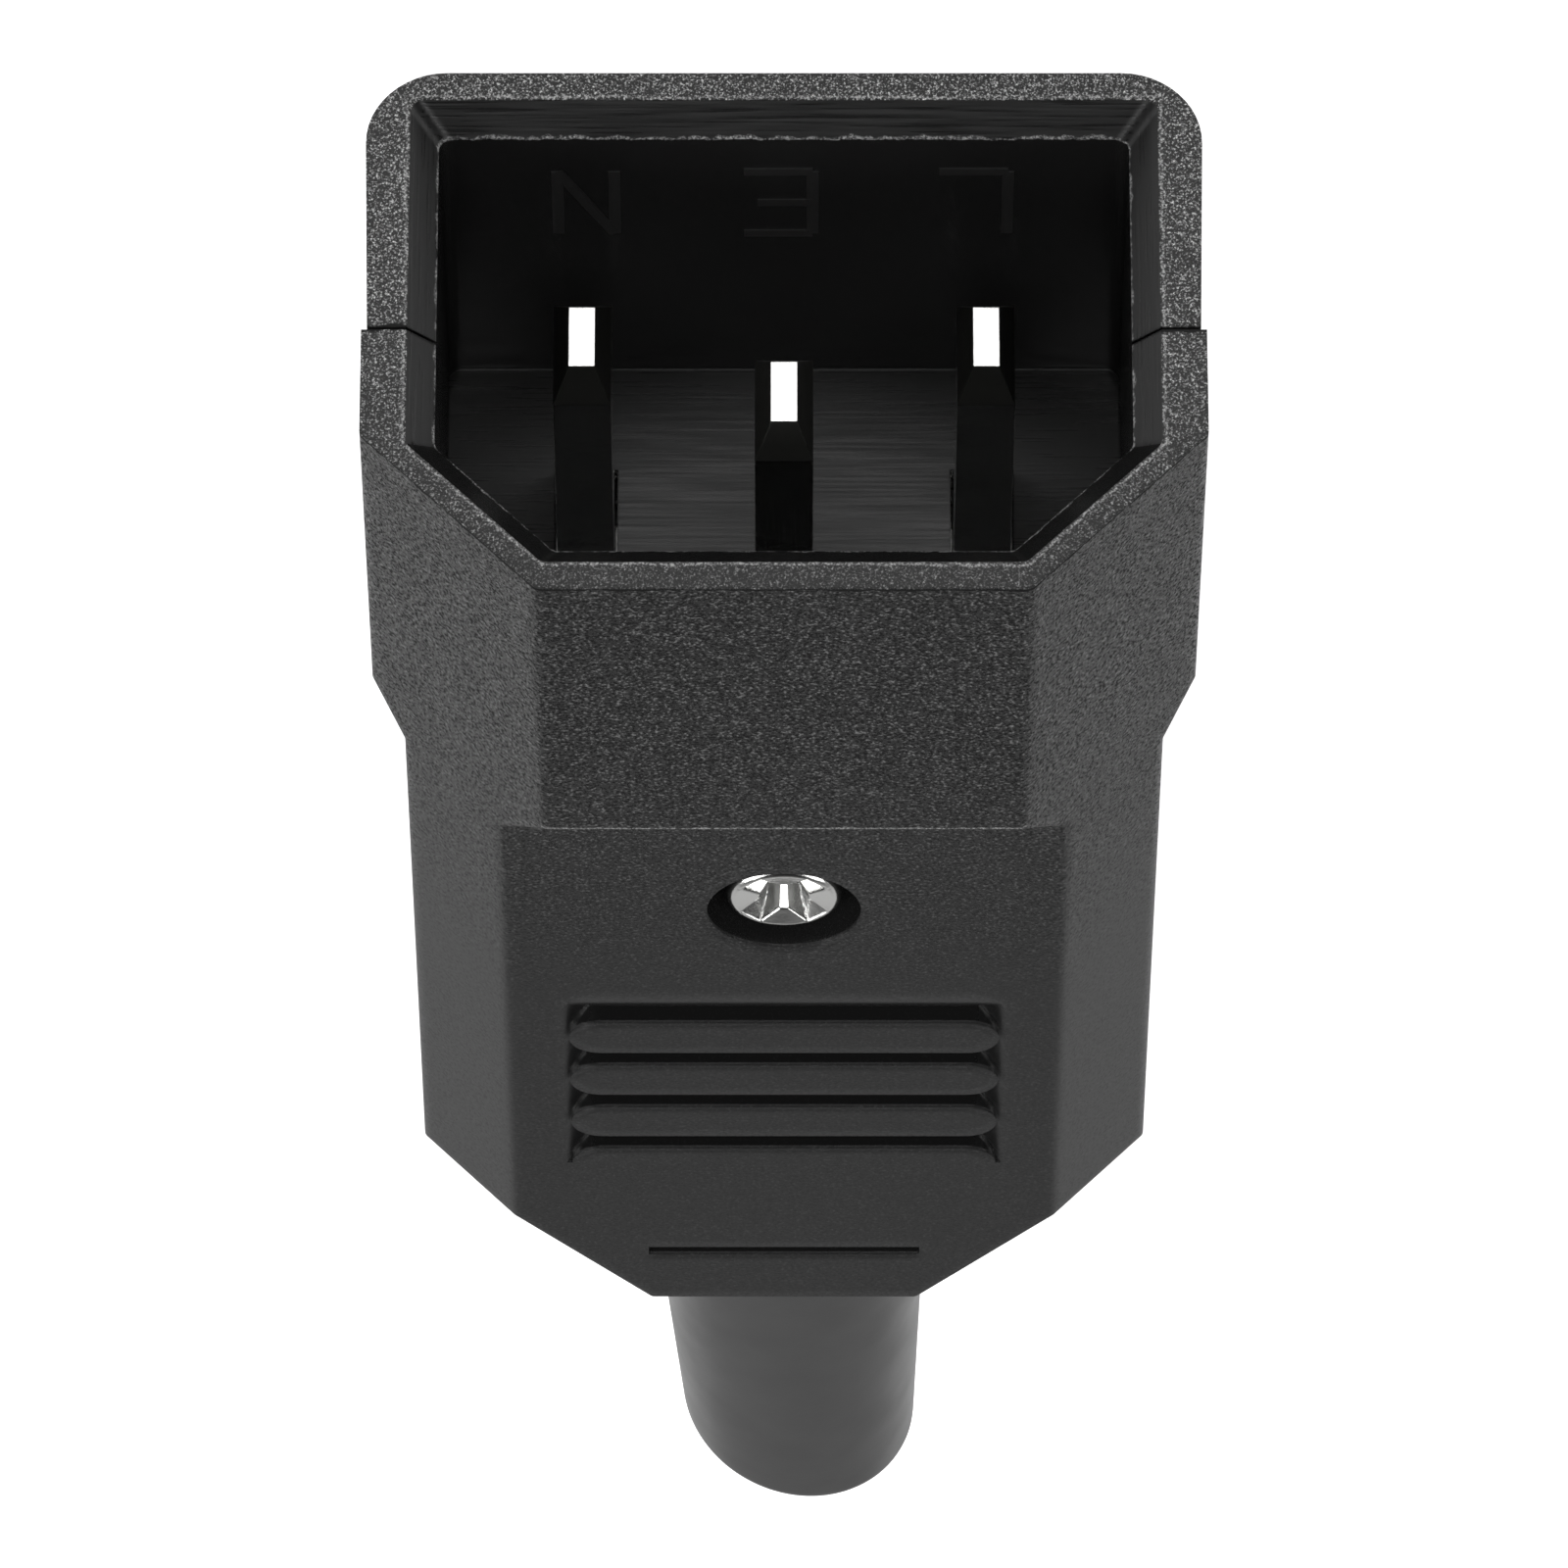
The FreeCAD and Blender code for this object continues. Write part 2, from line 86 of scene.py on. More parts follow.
DARK_FRINGE_DEPTH = (0.06 * MM, 0.22 * MM)
BLOCK_END = 16.86 * MM
SUNK_FROM = 22.0 * MM
SUNK_TO = 53.5 * MM
SUNK_LOW_Z = 16.5 * MM
SUNK_FADE = (0.14 * MM, 0.01 * MM)
GRIP_END = 47.0 * MM
GRIP_HALF_WIDTH = 8.1 * MM
GRIP_FADE = (6.9 * MM, 8.0 * MM)
LINE_START = 49.0 * MM
LINE_HALF_WIDTH = 5.15 * MM
GRAIN = 0.12 * MM
GRAIN_RELIEF = 0.06 * MM
GRAIN_FRESH = 11.0 * MM
GRAIN_RUBBED = 32.0 * MM
FIBRE = 0.08 * MM
WANDER = 0.7 * MM
STREAK_LENGTH = 4.0 * MM
STREAKS_PER_MM = 9
STREAK_RELIEF = 0.02 * MM
NYLON_BLACK = "#151515"
NYLON_PIT = "#020202"
NYLON_PEAK = "#747474"
NYLON_PAINTED_GLINT = "#ffffff"
NYLON_INSIDE = "#1e1e1e"
NYLON_PAINTED_LIGHT = "#3a3a3a"
NYLON_PALE_LINE = "#c4c4c4"


def linear(code):
    """Linear colour with alpha from an sRGB hex value."""
    parts = np.array([int(code[i:i + 2], 16) for i in (1, 3, 5)]) / 255
    parts = np.where(parts <= 0.04045, parts / 12.92, ((parts + 0.055) / 1.055) ** 2.4)
    return (*parts.tolist(), 1.0)


def add(tree, kind, inputs, out=None, **settings):
    """Adds one shader node: settings are its properties, and inputs are its sockets, each a value or a
    link, under the socket's name, or its number where names repeat. Gives back the output named, or the
    first in use."""
    node = tree.nodes.new("ShaderNode" + kind)
    for name, value in settings.items():
        setattr(node, name, value)
    for name, value in inputs.items():
        if isinstance(value, bpy.types.NodeSocket):
            tree.links.new(value, node.inputs[name])
        else:
            node.inputs[name].default_value = value
    return next((socket for socket in node.outputs if socket.enabled and out in (None, socket.name)), None)


def empty_material(name):
    """A new material with no nodes, and its node tree."""
    material = bpy.data.materials.new(name)
    material.use_nodes = True
    tree = material.node_tree
    tree.nodes.clear()
    return material, tree


def dress(node, material):
    """Gives a CAD node one material in place of its own."""
    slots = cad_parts[node].data.materials
    slots.clear()
    slots.append(material)


def moulded_nylon():
    """Glass-filled nylon: near black and satin, speckled with grain outside, smooth and streaked in the
    mouth. Grain, fibres and streaks are drawn coarser than real ones, so that they show in the picture."""
    material, tree = empty_material("moulded_black_nylon")
    place = add(tree, "TexCoord", {}, out="Object")
    facing = add(tree, "NewGeometry", {}, out="Normal")
    x, y, z = add(tree, "SeparateXYZ", {0: place}).node.outputs
    side, along, rise = add(tree, "SeparateXYZ", {0: facing}).node.outputs
    depth = add(tree, "Math", {0: y, 1: rim_y}, operation="SUBTRACT")
    across = add(tree, "Math", {0: x}, operation="ABSOLUTE")

    # The rim's face, and the distance out from the mouth's edge
    rim = add(tree, "Math", {0: depth, 1: RIM_FACE}, operation="LESS_THAN")
    corner = add(tree, "Math", {0: across, 1: z}, operation="ADD")
    corner = add(tree, "Math", {0: corner, 1: MOUTH_CORNER}, operation="SUBTRACT")
    band = add(tree, "Math", {0: corner, 1: math.sqrt(0.5)}, operation="MULTIPLY")
    for outer, inner in ((across, MOUTH_HALF_WIDTH), (MOUTH_LOW_Z, z), (z, MOUTH_HIGH_Z)):
        past = add(tree, "Math", {0: outer, 1: inner}, operation="SUBTRACT")
        band = add(tree, "Math", {0: band, 1: past}, operation="MAXIMUM")

    # The tool was polished in the mouth as far as the partition, and in what is sunk in the panel: the screw
    # hole, the grip's recess and the line
    inside = add(tree, "Math", {0: band, 1: MOUTH_SLACK}, operation="LESS_THAN")
    for limit, sense in ((PARTITION_BACK, "LESS_THAN"), (RIM_FACE, "GREATER_THAN")):
        test = add(tree, "Math", {0: depth, 1: limit}, operation=sense)
        inside = add(tree, "Math", {0: inside, 1: test}, operation="MULTIPLY")
    sunk = add(tree, "MapRange", {0: z, 1: PANEL_Z - SUNK_FADE[0], 2: PANEL_Z - SUNK_FADE[1], 3: 0.85,
                                  4: 0.0})
    reach = add(tree, "MapRange", {0: depth, 1: GRIP_END, 2: LINE_START, 3: GRIP_HALF_WIDTH,
                                   4: LINE_HALF_WIDTH})
    for value, limit, sense in ((z, SUNK_LOW_Z, "GREATER_THAN"), (depth, SUNK_FROM, "GREATER_THAN"),
                                (depth, SUNK_TO, "LESS_THAN"), (across, reach, "LESS_THAN")):
        test = add(tree, "Math", {0: value, 1: limit}, operation=sense)
        sunk = add(tree, "Math", {0: sunk, 1: test}, operation="MULTIPLY")
    ends = add(tree, "MapRange", {0: across, 1: GRIP_FADE[0], 2: GRIP_FADE[1], 3: 1.0, 4: 0.25})
    sunk = add(tree, "Math", {0: sunk, 1: ends}, operation="MULTIPLY")
    smooth = add(tree, "Math", {0: inside, 1: sunk}, operation="MAXIMUM")

    # Faces in the mouth that look out of it, and the partition among them
    forward = add(tree, "Math", {0: along, 1: -0.5}, operation="LESS_THAN")
    level = add(tree, "Math", {0: rise, 1: -0.3}, operation="GREATER_THAN")
    forward = add(tree, "Math", {0: forward, 1: level}, operation="MULTIPLY")
    forward = add(tree, "Math", {0: forward, 1: inside}, operation="MULTIPLY")
    deep = add(tree, "Math", {0: depth, 1: PARTITION_FRONT}, operation="GREATER_THAN")
    deep = add(tree, "Math", {0: deep, 1: forward}, operation="MULTIPLY")

    # Moulding grain, sharpest at the mouth and rubbed down towards the tail: small pits in a satin skin
    grain = add(tree, "TexNoise", {"Vector": place, "Scale": 1 / GRAIN, "Detail": 1.0, "Roughness": 0.6})
    fresh = add(tree, "MapRange", {0: depth, 1: GRAIN_FRESH, 2: GRAIN_RUBBED, 3: 1.0, 4: 0.14})
    # The pits are real relief, and their darker colour is painted shade in them
    pit = add(tree, "MapRange", {0: grain, 1: 0.37, 2: 0.45, 3: 1.0, 4: 0.0},
              interpolation_type="SMOOTHSTEP")
    pit = add(tree, "Math", {0: pit, 1: fresh}, operation="MULTIPLY")
    skin = add(tree, "Math", {0: 1.0, 1: pit}, operation="SUBTRACT")
    speck = add(tree, "MapRange", {0: grain, 1: 0.57, 2: 0.75})
    speck = add(tree, "Math", {0: speck, 1: fresh}, operation="MULTIPLY")
    colour = add(tree, "Mix", {0: skin, 6: linear(NYLON_PIT), 7: linear(NYLON_BLACK)}, data_type="RGBA")
    colour = add(tree, "Mix", {0: speck, 6: colour, 7: linear(NYLON_PEAK)}, data_type="RGBA")

    # The rim's bright specks are painted glints, for light caught by broken glass fibres, fainter towards
    # the cover's top
    fibres = add(tree, "TexNoise", {"Vector": place, "Scale": 1 / FIBRE, "Detail": 2.0, "Roughness": 0.7})
    painted_glint = add(tree, "MapRange", {0: fibres, 1: 0.47, 2: 0.76})
    painted_glint = add(tree, "Math", {0: painted_glint, 1: 2.0}, operation="POWER")
    glint_by_height = add(tree, "MapRange", {0: z, 1: GLINT_FADE_Z, 2: top_z, 3: 1.45, 4: 0.42})
    painted_glint = add(tree, "Math", {0: painted_glint, 1: glint_by_height}, operation="MULTIPLY")
    rim_painted_glints = add(tree, "Mix", {0: painted_glint, 6: linear(NYLON_PIT), 7: linear(NYLON_PAINTED_GLINT)}, data_type="RGBA")
    colour = add(tree, "Mix", {0: rim, 6: colour, 7: rim_painted_glints}, data_type="RGBA")

    # Painted shade and light in the mouth: the lead-in is the blackest, the partition lighter towards the
    # cover
    lead_in = add(tree, "Math", {0: depth, 1: LEAD_IN_DEPTH}, operation="LESS_THAN")
    polished_and_painted_light = add(tree, "Mix", {0: lead_in, 6: linear(NYLON_INSIDE), 7: linear(NYLON_BLACK)},
                   data_type="RGBA")
    # Painted light on the partition, lighter with height
    partition_light = add(tree, "MapRange", {0: z, 1: PARTITION_LIGHT_Z[0], 2: PARTITION_LIGHT_Z[1]})
    partition_light = add(tree, "Math", {0: partition_light, 1: deep}, operation="MULTIPLY")
    polished_and_painted_light = add(tree, "Mix", {0: partition_light, 6: polished_and_painted_light, 7: linear(NYLON_PAINTED_LIGHT)}, data_type="RGBA")
    colour = add(tree, "Mix", {0: smooth, 6: colour, 7: polished_and_painted_light}, data_type="RGBA")

    # Ragged pale lines: along the rim's inner edge, at the foot of the lead-in bevel, and where the mouth
    # ends
    wander = add(tree, "TexNoise", {"Vector": place, "Scale": 1 / WANDER, "Detail": 2.0, "Roughness": 0.7})
    wander = add(tree, "MapRange", {0: wander, 1: 0.3, 2: 0.7})
    broken = add(tree, "MapRange", {0: fibres, 1: 0.42, 2: 0.66, 3: 0.05, 4: 0.9})
    raised = add(tree, "Math", {0: z, 1: top_z - TOP_FACE}, operation="GREATER_THAN")
    for measure, edge, strays, where in ((band, RIM_PALE_LINE, RIM_STRAYS, rim),
                                         (depth, LEAD_IN_FOOT, FOOT_STRAYS, inside),
                                         (depth, BLOCK_END, BLOCK_STRAYS, raised)):
        pale_line = add(tree, "MapRange", {0: wander, 3: edge - strays, 4: edge + strays})
        pale_line = add(tree, "Math", {0: measure, 1: pale_line}, operation="SUBTRACT")
        pale_line = add(tree, "Math", {0: pale_line}, operation="ABSOLUTE")
        pale_line = add(tree, "MapRange", {0: pale_line, 1: PALE_LINE_WIDTH[0], 2: PALE_LINE_WIDTH[1], 3: 1.0, 4: 0.0})
        pale_line = add(tree, "Math", {0: pale_line, 1: where}, operation="MULTIPLY")
        pale_line = add(tree, "Math", {0: pale_line, 1: broken}, operation="MULTIPLY")
        colour = add(tree, "Mix", {0: pale_line, 6: colour, 7: linear(NYLON_PALE_LINE)}, data_type="RGBA")

    # The seam between the halves and a fine fringe behind the trimmed rim are dull; the fringe's dark is a
    # painted reflection
    seam = add(tree, "MapRange", {0: wander, 3: PARTING_Z - SEAM_STRAYS, 4: PARTING_Z + SEAM_STRAYS})
    seam = add(tree, "Math", {0: z, 1: seam}, operation="SUBTRACT")
    seam = add(tree, "Math", {0: seam}, operation="ABSOLUTE")
    seam = add(tree, "MapRange", {0: seam, 1: SEAM_WIDTH[0], 2: SEAM_WIDTH[1], 3: 1.0, 4: 0.0})
    painted_dark_fringe = add(tree, "MapRange", {0: wander, 3: DARK_FRINGE_DEPTH[0], 4: DARK_FRINGE_DEPTH[1]})
    painted_dark_fringe = add(tree, "Math", {0: depth, 1: painted_dark_fringe}, operation="LESS_THAN")
    bare = add(tree, "Math", {0: rim, 1: smooth}, operation="MAXIMUM")
    painted_dark_fringe = add(tree, "Math", {0: painted_dark_fringe, 1: bare}, operation="SUBTRACT", use_clamp=True)
    dull_seam_and_painted_fringe = add(tree, "Math", {0: painted_dark_fringe, 1: seam}, operation="MAXIMUM")
    colour = add(tree, "Mix", {0: dull_seam_and_painted_fringe, 6: colour, 7: linear(NYLON_PIT)}, data_type="RGBA")

    # Tool streaks: along X on the partition and the long bevels, along Z on the side bevels
    fine, coarse = STREAKS_PER_MM / MM, 1 / STREAK_LENGTH
    turned = add(tree, "Math", {0: side}, operation="ABSOLUTE")
    turned = add(tree, "Math", {0: turned, 1: 0.5}, operation="GREATER_THAN")
    along_x = add(tree, "Mapping", {"Vector": place, "Scale": (coarse, fine, fine)})
    along_z = add(tree, "Mapping", {"Vector": place, "Scale": (fine, fine, coarse)})
    streaks = add(tree, "Mix", {0: turned, 4: along_x, 5: along_z}, data_type="VECTOR")
    streaks = add(tree, "TexNoise", {"Vector": streaks, "Scale": 1.0, "Detail": 2.0})

    # Shine: satin skin, dull pits, seam and fringe, polished mouth
    rough = add(tree, "MapRange", {0: skin, 3: 0.8, 4: 0.38})
    rough = add(tree, "Mix", {0: rim, 2: rough, 3: 0.4})
    rough = add(tree, "Mix", {0: dull_seam_and_painted_fringe, 2: rough, 3: 0.9})
    rough = add(tree, "Mix", {0: smooth, 2: rough, 3: 0.24})
    drawn = add(tree, "MapRange", {0: streaks, 1: 0.3, 2: 0.7, 3: 0.22, 4: 0.44})
    rough = add(tree, "Mix", {0: forward, 2: rough, 3: drawn})

    # Relief: soft edges, the grain outside, the streaks, and a bow in the partition, strongest in its middle
    soft = add(tree, "MapRange", {0: wander, 3: RIM_EDGE_R[0], 4: RIM_EDGE_R[1]})
    further = add(tree, "MapRange", {0: depth, 1: RIM_EDGE_END[0], 2: RIM_EDGE_END[1]})
    soft = add(tree, "Mix", {0: further, 2: soft, 3: OUTER_EDGE_R})
    soft = add(tree, "Mix", {0: smooth, 2: soft, 3: POLISHED_EDGE_R})
    normal = add(tree, "Bevel", {"Radius": soft}, samples=4)
    grained = add(tree, "Math", {0: 1.0, 1: smooth}, operation="SUBTRACT")
    grained = add(tree, "Math", {0: grained, 1: fresh}, operation="MULTIPLY")
    relief = add(tree, "Mix", {0: rim, 2: skin, 3: fibres})
    normal = add(tree, "Bump", {"Strength": grained, "Distance": GRAIN_RELIEF, "Height": relief,
                                "Normal": normal})
    milled = add(tree, "Math", {0: forward, 1: 0.25}, operation="MULTIPLY")
    normal = add(tree, "Bump", {"Strength": milled, "Distance": STREAK_RELIEF, "Height": streaks,
                                "Normal": normal})
    bow = add(tree, "Math", {0: across, 1: PARTITION_HALF_WIDTH}, operation="DIVIDE")
    bow = add(tree, "Math", {0: bow, 1: 2.0}, operation="POWER")
    bow = add(tree, "Math", {0: 1.0, 1: bow}, operation="SUBTRACT")
    bow = add(tree, "Math", {0: bow, 1: z}, operation="MULTIPLY")
    bow = add(tree, "Math", {0: bow, 1: PARTITION_BOW}, operation="MULTIPLY")
    normal = add(tree, "Bump", {"Strength": deep, "Distance": 1.0, "Height": bow, "Normal": normal})
    shader = add(tree, "BsdfPrincipled", {"Base Color": colour, "Roughness": rough, "IOR": 1.42,
                                          "Normal": normal})
    add(tree, "OutputMaterial", {"Surface": shader})
    return material


nylon = moulded_nylon()
dress("rear_shell", nylon)

# Pole letters on the floor of the mouth, one in front of each pin: N, E and L, a hair proud.
# They are cut in the base half's tool and moulded with it, so they are the same nylon.
LETTER_HEIGHT = 4.1 * MM
LETTER_WIDTH = 2.4 * MM
LETTER_STROKE = 0.42 * MM
LETTER_PROUD = 0.035 * MM
LETTER_STEP = 0.004 * MM
LETTER_FLOOR = 2.05 * MM
LETTER_DEPTH = 5.2 * MM
MIDDLE_BAR_SHARE = 0.6
NYLON_ETCHED = "#303030"


def strokes_mesh(name, lines):
    """Flat-topped strips: each line (x0, y0, x1, y1) becomes a box, its half width square to the line.
    Each next strip is a little higher, so that no two tops lie in one plane where they cross."""
    start, end = lines[:, :2], lines[:, 2:]
    way = (end - start) / np.linalg.norm(end - start, axis=1, keepdims=True)
    side = np.stack([-way[:, 1], way[:, 0]], axis=1) * LETTER_STROKE / 2
    plan = np.stack([start - side, end - side, end + side, start + side], axis=1)
    low = np.full((len(lines), 4, 1), LETTER_FLOOR - LETTER_PROUD)
    high = np.full((len(lines), 4, 1), LETTER_FLOOR + LETTER_PROUD)
    high += LETTER_STEP * np.arange(len(lines))[:, None, None]
    corners = np.concatenate([np.concatenate([plan, low], 2), np.concatenate([plan, high], 2)], 1)
    box = np.array([[3, 2, 1, 0], [4, 5, 6, 7], [0, 1, 5, 4], [1, 2, 6, 5], [2, 3, 7, 6], [3, 0, 4, 7]])
    faces = (box[None] + 8 * np.arange(len(lines))[:, None, None]).reshape(-1, 4)
    mesh = bpy.data.meshes.new(name)
    mesh.from_pydata(corners.reshape(-1, 3).tolist(), [], faces.tolist())
    return mesh


def new_piece(name, mesh, material):
    """An object at the origin with the mesh and its one material."""
    piece = bpy.data.objects.new(name, mesh)
    bpy.context.scene.collection.objects.link(piece)
    mesh.materials.append(material)
    return piece


def etched_nylon():
    """Nylon from a lightly etched part of the tool: a shade lighter and duller than the polished floor."""
    material, tree = empty_material("etched_black_nylon")
    place = add(tree, "TexCoord", {}, out="Object")
    etch = add(tree, "TexNoise", {"Vector": place, "Scale": 1 / GRAIN, "Detail": 2.0})
    colour = add(tree, "Mix", {0: etch, 6: linear(NYLON_INSIDE), 7: linear(NYLON_ETCHED)}, data_type="RGBA")
    rough = add(tree, "MapRange", {0: etch, 1: 0.3, 2: 0.7, 3: 0.34, 4: 0.5})
    shader = add(tree, "BsdfPrincipled", {"Base Color": colour, "Roughness": rough, "IOR": 1.45})
    add(tree, "OutputMaterial", {"Surface": shader})
    return material


etched = etched_nylon()
half, tall, slim = LETTER_WIDTH / 2, LETTER_HEIGHT / 2, (LETTER_WIDTH - LETTER_STROKE) / 2
LETTERS = {
    "letter_n": (6.9 * MM, [(-slim, -tall, -slim, tall), (slim, -tall, slim, tall),
                            (-slim, tall, slim, -tall)]),
    "letter_e": (0.2 * MM, [(-half, -tall, -half, tall), (-half, tall, half, tall),
                            (-half, 0, MIDDLE_BAR_SHARE * half, 0), (-half, -tall, half, -tall)]),
    "letter_l": (-6.6 * MM, [(-half, -tall, -half, tall), (-half, -tall, half, -tall)]),
}
for name, (centre_x, lines) in LETTERS.items():
    shift = np.array([centre_x, rim_y + LETTER_DEPTH] * 2)
    letter = new_piece(name, strokes_mesh(name, np.array(lines) + shift), etched)
    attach(letter, "root")

# Live, neutral and earth pins: brass strip, stamped and bent, its ends coined to a bevel, then nickel
# plated. Each lies in a slot of the partition and carries its terminal block inside.
PIN_TIP_DEPTH = 8.0 * MM
SCRATCH_LENGTH = 2.0 * MM
SCRATCHES_PER_MM = 9
SCRATCH_RELIEF = 0.02 * MM
DENT = 0.5 * MM
DENT_RELIEF = 0.05 * MM
PIN_EDGE_R = (0.03 * MM, 0.12 * MM)
NICKEL = "#eeeeec"
BEVEL_PAINTED_DARK = "#3a3a38"


def nickel_plate(name, least, most):
    """Bright nickel over metal: near mirror, softly dented, with fine scratches that give it a roughness
    from least to most. The scratches are drawn coarser than real ones, so that they show in the picture."""
    material, tree = empty_material(name)
    place = add(tree, "TexCoord", {}, out="Object")
    facing = add(tree, "NewGeometry", {}, out="Normal")
    fine, coarse = SCRATCHES_PER_MM / MM, 1 / SCRATCH_LENGTH
    drawn = add(tree, "Mapping", {"Vector": place, "Scale": (fine, coarse, fine)})
    scratches = add(tree, "TexNoise", {"Vector": drawn, "Scale": 1.0, "Detail": 4.0, "Roughness": 0.7})
    dents = add(tree, "TexNoise", {"Vector": place, "Scale": 1 / DENT, "Detail": 3.0})

    # The coined bevels at the pins' tips are painted dark and dull, as the dark reflection they show
    _, y, _ = add(tree, "SeparateXYZ", {0: place}).node.outputs
    _, along, _ = add(tree, "SeparateXYZ", {0: facing}).node.outputs
    tip = add(tree, "Math", {0: y, 1: rim_y + PIN_TIP_DEPTH}, operation="LESS_THAN")
    coined = add(tree, "Math", {0: along, 1: -0.5, 2: 0.3}, operation="COMPARE")
    coined = add(tree, "Math", {0: coined, 1: tip}, operation="MULTIPLY")
    colour = add(tree, "Mix", {0: coined, 6: linear(NICKEL), 7: linear(BEVEL_PAINTED_DARK)}, data_type="RGBA")
    rough = add(tree, "MapRange", {0: scratches, 1: 0.3, 2: 0.75, 3: least, 4: most})
    rough = add(tree, "Mix", {0: coined, 2: rough, 3: 0.45})
    edges = add(tree, "MapRange", {0: dents, 1: 0.35, 2: 0.65, 3: PIN_EDGE_R[0], 4: PIN_EDGE_R[1]})
    normal = add(tree, "Bevel", {"Radius": edges}, samples=4)
    for strength, distance, height in ((0.12, SCRATCH_RELIEF, scratches), (0.25, DENT_RELIEF, dents)):
        normal = add(tree, "Bump", {"Strength": strength, "Distance": distance, "Height": height,
                                    "Normal": normal})
    shader = add(tree, "BsdfPrincipled", {"Base Color": colour, "Metallic": 1.0, "Roughness": rough,
                                          "Normal": normal})
    add(tree, "OutputMaterial", {"Surface": shader})
    return material


nickel = nickel_plate("nickel_plated_brass", 0.08, 0.2)
for node in ("live_pin", "neutral_pin", "earth_pin"):
    dress(node, nickel)

# Terminal screws and cord clamp inside the housing: plated steel screws, three in the pins' blocks and two
# that hold a moulded nylon bar down on two posts of the base half.
plated = nickel_plate("nickel_plated_steel", 0.16, 0.2)
for node in ("terminal_screws", "clamp_screws"):
    dress(node, plated)
dress("clamp_bar", nylon)

# Cord boot: a soft PVC sleeve, its collar held between the halves, tapering away from the housing.
# Its end was cut at a slant, and its skin is smooth and satin.
BOOT_EXIT = 56.427 * MM
BOOT_END = 82.6 * MM
BOOT_ROOT_R = 5.6 * MM
BOOT_TIP_R = 4.5 * MM
BOOT_BORE_R = 3.5 * MM
BOOT_EDGE_R = 0.75 * MM
BOOT_EDGE_START = 0.965
BOOT_LIP_R = 0.3 * MM
BOOT_LIP_SHARE = 0.012
BOOT_BORE_START = 0.97
BOOT_CUT = math.radians(14.0)
BOOT_LEAN = math.radians(1.3)
BOOT_AXIS_Z = 10.3 * MM
COLLAR_START = 51.0 * MM
COLLAR_END = 53.4 * MM
COLLAR_R = 6.3 * MM
NECK_R = 5.2 * MM
BOOT_SIDES = 144
PVC_MOTTLE = 2.5 * MM
PVC_GRAIN = 0.12 * MM
PVC_RELIEF = 0.03 * MM
PVC_GREY = "#3a3a3a"


def boot_surface():
    """A closed profile of radius and share of the length is turned about the boot's axis. The share scales a
    length that falls off with cos(angle), which slants the end, and the tube then leans about its root."""
    wall = np.linspace(0, BOOT_EDGE_START, 30)
    quarter = np.linspace(0, math.pi / 2, 9)
    length = BOOT_END - BOOT_EXIT
    outer = BOOT_ROOT_R + (BOOT_TIP_R - BOOT_ROOT_R) * wall
    edge_r = outer[-1] - BOOT_EDGE_R * (1 - np.cos(quarter))
    edge = 1 - (1 - BOOT_EDGE_START) * (1 - np.sin(quarter))
    lip_r = BOOT_BORE_R + BOOT_LIP_R * (1 - np.sin(quarter))
    lip = 1 - BOOT_LIP_SHARE * (1 - np.cos(quarter))
    back = (np.array([COLLAR_START, COLLAR_START, COLLAR_END, COLLAR_END, BOOT_EXIT]) - BOOT_EXIT) / length
    profile = np.concatenate([
        np.stack([outer, wall], 1),
        np.stack([edge_r, edge], 1)[1:],
        np.stack([lip_r, lip], 1),
        np.stack([np.full(12, BOOT_BORE_R), np.linspace(BOOT_BORE_START, back[0], 12)], 1),
        np.stack([np.array([COLLAR_R, COLLAR_R, NECK_R, NECK_R]), back[1:]], 1)])
    angle = np.linspace(0, 2 * math.pi, BOOT_SIDES, endpoint=False)
    r, share = profile[:, :1], profile[:, 1:]
    x = r * np.cos(angle)
    reach = share * np.where(share > 0, length - x * math.tan(BOOT_CUT), length)
    lean = np.where(share > 0, BOOT_LEAN, 0.0)
    return np.stack([x * np.cos(lean) - reach * np.sin(lean),
                     x * np.sin(lean) + reach * np.cos(lean) + BOOT_EXIT + rim_y,
                     BOOT_AXIS_Z + r * np.sin(angle)], 2)


def turned_mesh(name, points):
    """Quads over a grid of rings by angle, closed both ways, with smooth faces."""
    rings, steps = points.shape[:2]
    ring, step = np.meshgrid(np.arange(rings), np.arange(steps), indexing="ij")
    after, onward = (ring + 1) % rings, (step + 1) % steps
    faces = np.stack([ring * steps + step, ring * steps + onward, after * steps + onward,
                      after * steps + step], 2).reshape(-1, 4)
    mesh = bpy.data.meshes.new(name)
    mesh.from_pydata(points.reshape(-1, 3).tolist(), [], faces.tolist())
    mesh.polygons.foreach_set("use_smooth", np.ones(len(faces), bool))
    return mesh


def soft_pvc():
    """Plasticised PVC: dark grey, satin, faintly mottled in its shine, with a very fine grain."""
    material, tree = empty_material("soft_pvc")
    place = add(tree, "TexCoord", {}, out="Object")
    mottle = add(tree, "TexNoise", {"Vector": place, "Scale": 1 / PVC_MOTTLE, "Detail": 4.0})
    skin = add(tree, "TexNoise", {"Vector": place, "Scale": 1 / PVC_GRAIN, "Detail": 2.0})
    rough = add(tree, "MapRange", {0: mottle, 1: 0.3, 2: 0.7, 3: 0.35, 4: 0.42})
    normal = add(tree, "Bump", {"Strength": 0.08, "Distance": PVC_RELIEF, "Height": skin})
    shader = add(tree, "BsdfPrincipled", {"Base Color": linear(PVC_GREY), "Roughness": rough, "IOR": 1.52,
                                          "Normal": normal})
    add(tree, "OutputMaterial", {"Surface": shader})
    return material


boot = new_piece("boot_sleeve", turned_mesh("boot_sleeve", boot_surface()), soft_pvc())
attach(boot, "root")
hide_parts("cord_boot")

# Cover half: the same nylon as the base, with the chamfered mouth, the set-back grip panel and its bars.
# One screw through the panel holds it down.
dress("front_shell", nylon)

